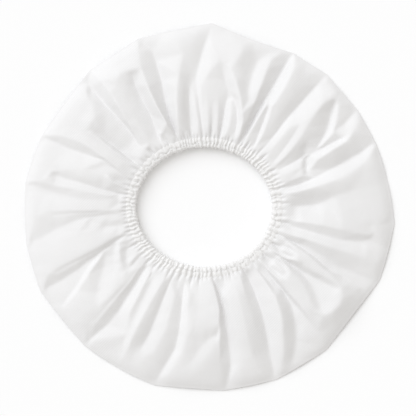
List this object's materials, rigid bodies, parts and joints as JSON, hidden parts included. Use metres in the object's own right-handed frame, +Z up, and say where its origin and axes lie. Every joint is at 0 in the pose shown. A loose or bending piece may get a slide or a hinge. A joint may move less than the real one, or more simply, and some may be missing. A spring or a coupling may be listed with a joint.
{
  "type": "shampoo cap",
  "caption": "Open ring-shaped shampoo cap: a gathered double layer of white cloth round a ruched elastic casing that fits the hairline.",
  "frame": {"origin": "on the floor under the middle of the outer rim's box", "axes": "+Z up out of the flat ring, +X along the longer way of the head opening, to the picture's right, +Y to the picture's top"},
  "size_m": [0.3596, 0.3578, 0.0221],
  "materials": {
    "brim_cloth": "matte white gathered cloth",
    "elastic_casing": "matte white ruched cloth",
    "elastic_band": "matte white woven elastic"
  },
  "bodies": {
    "root": {"brim_cloth": "brim_cloth", "elastic_casing": "elastic_casing", "elastic_band": "elastic_band"}
  },
  "joints": []
}
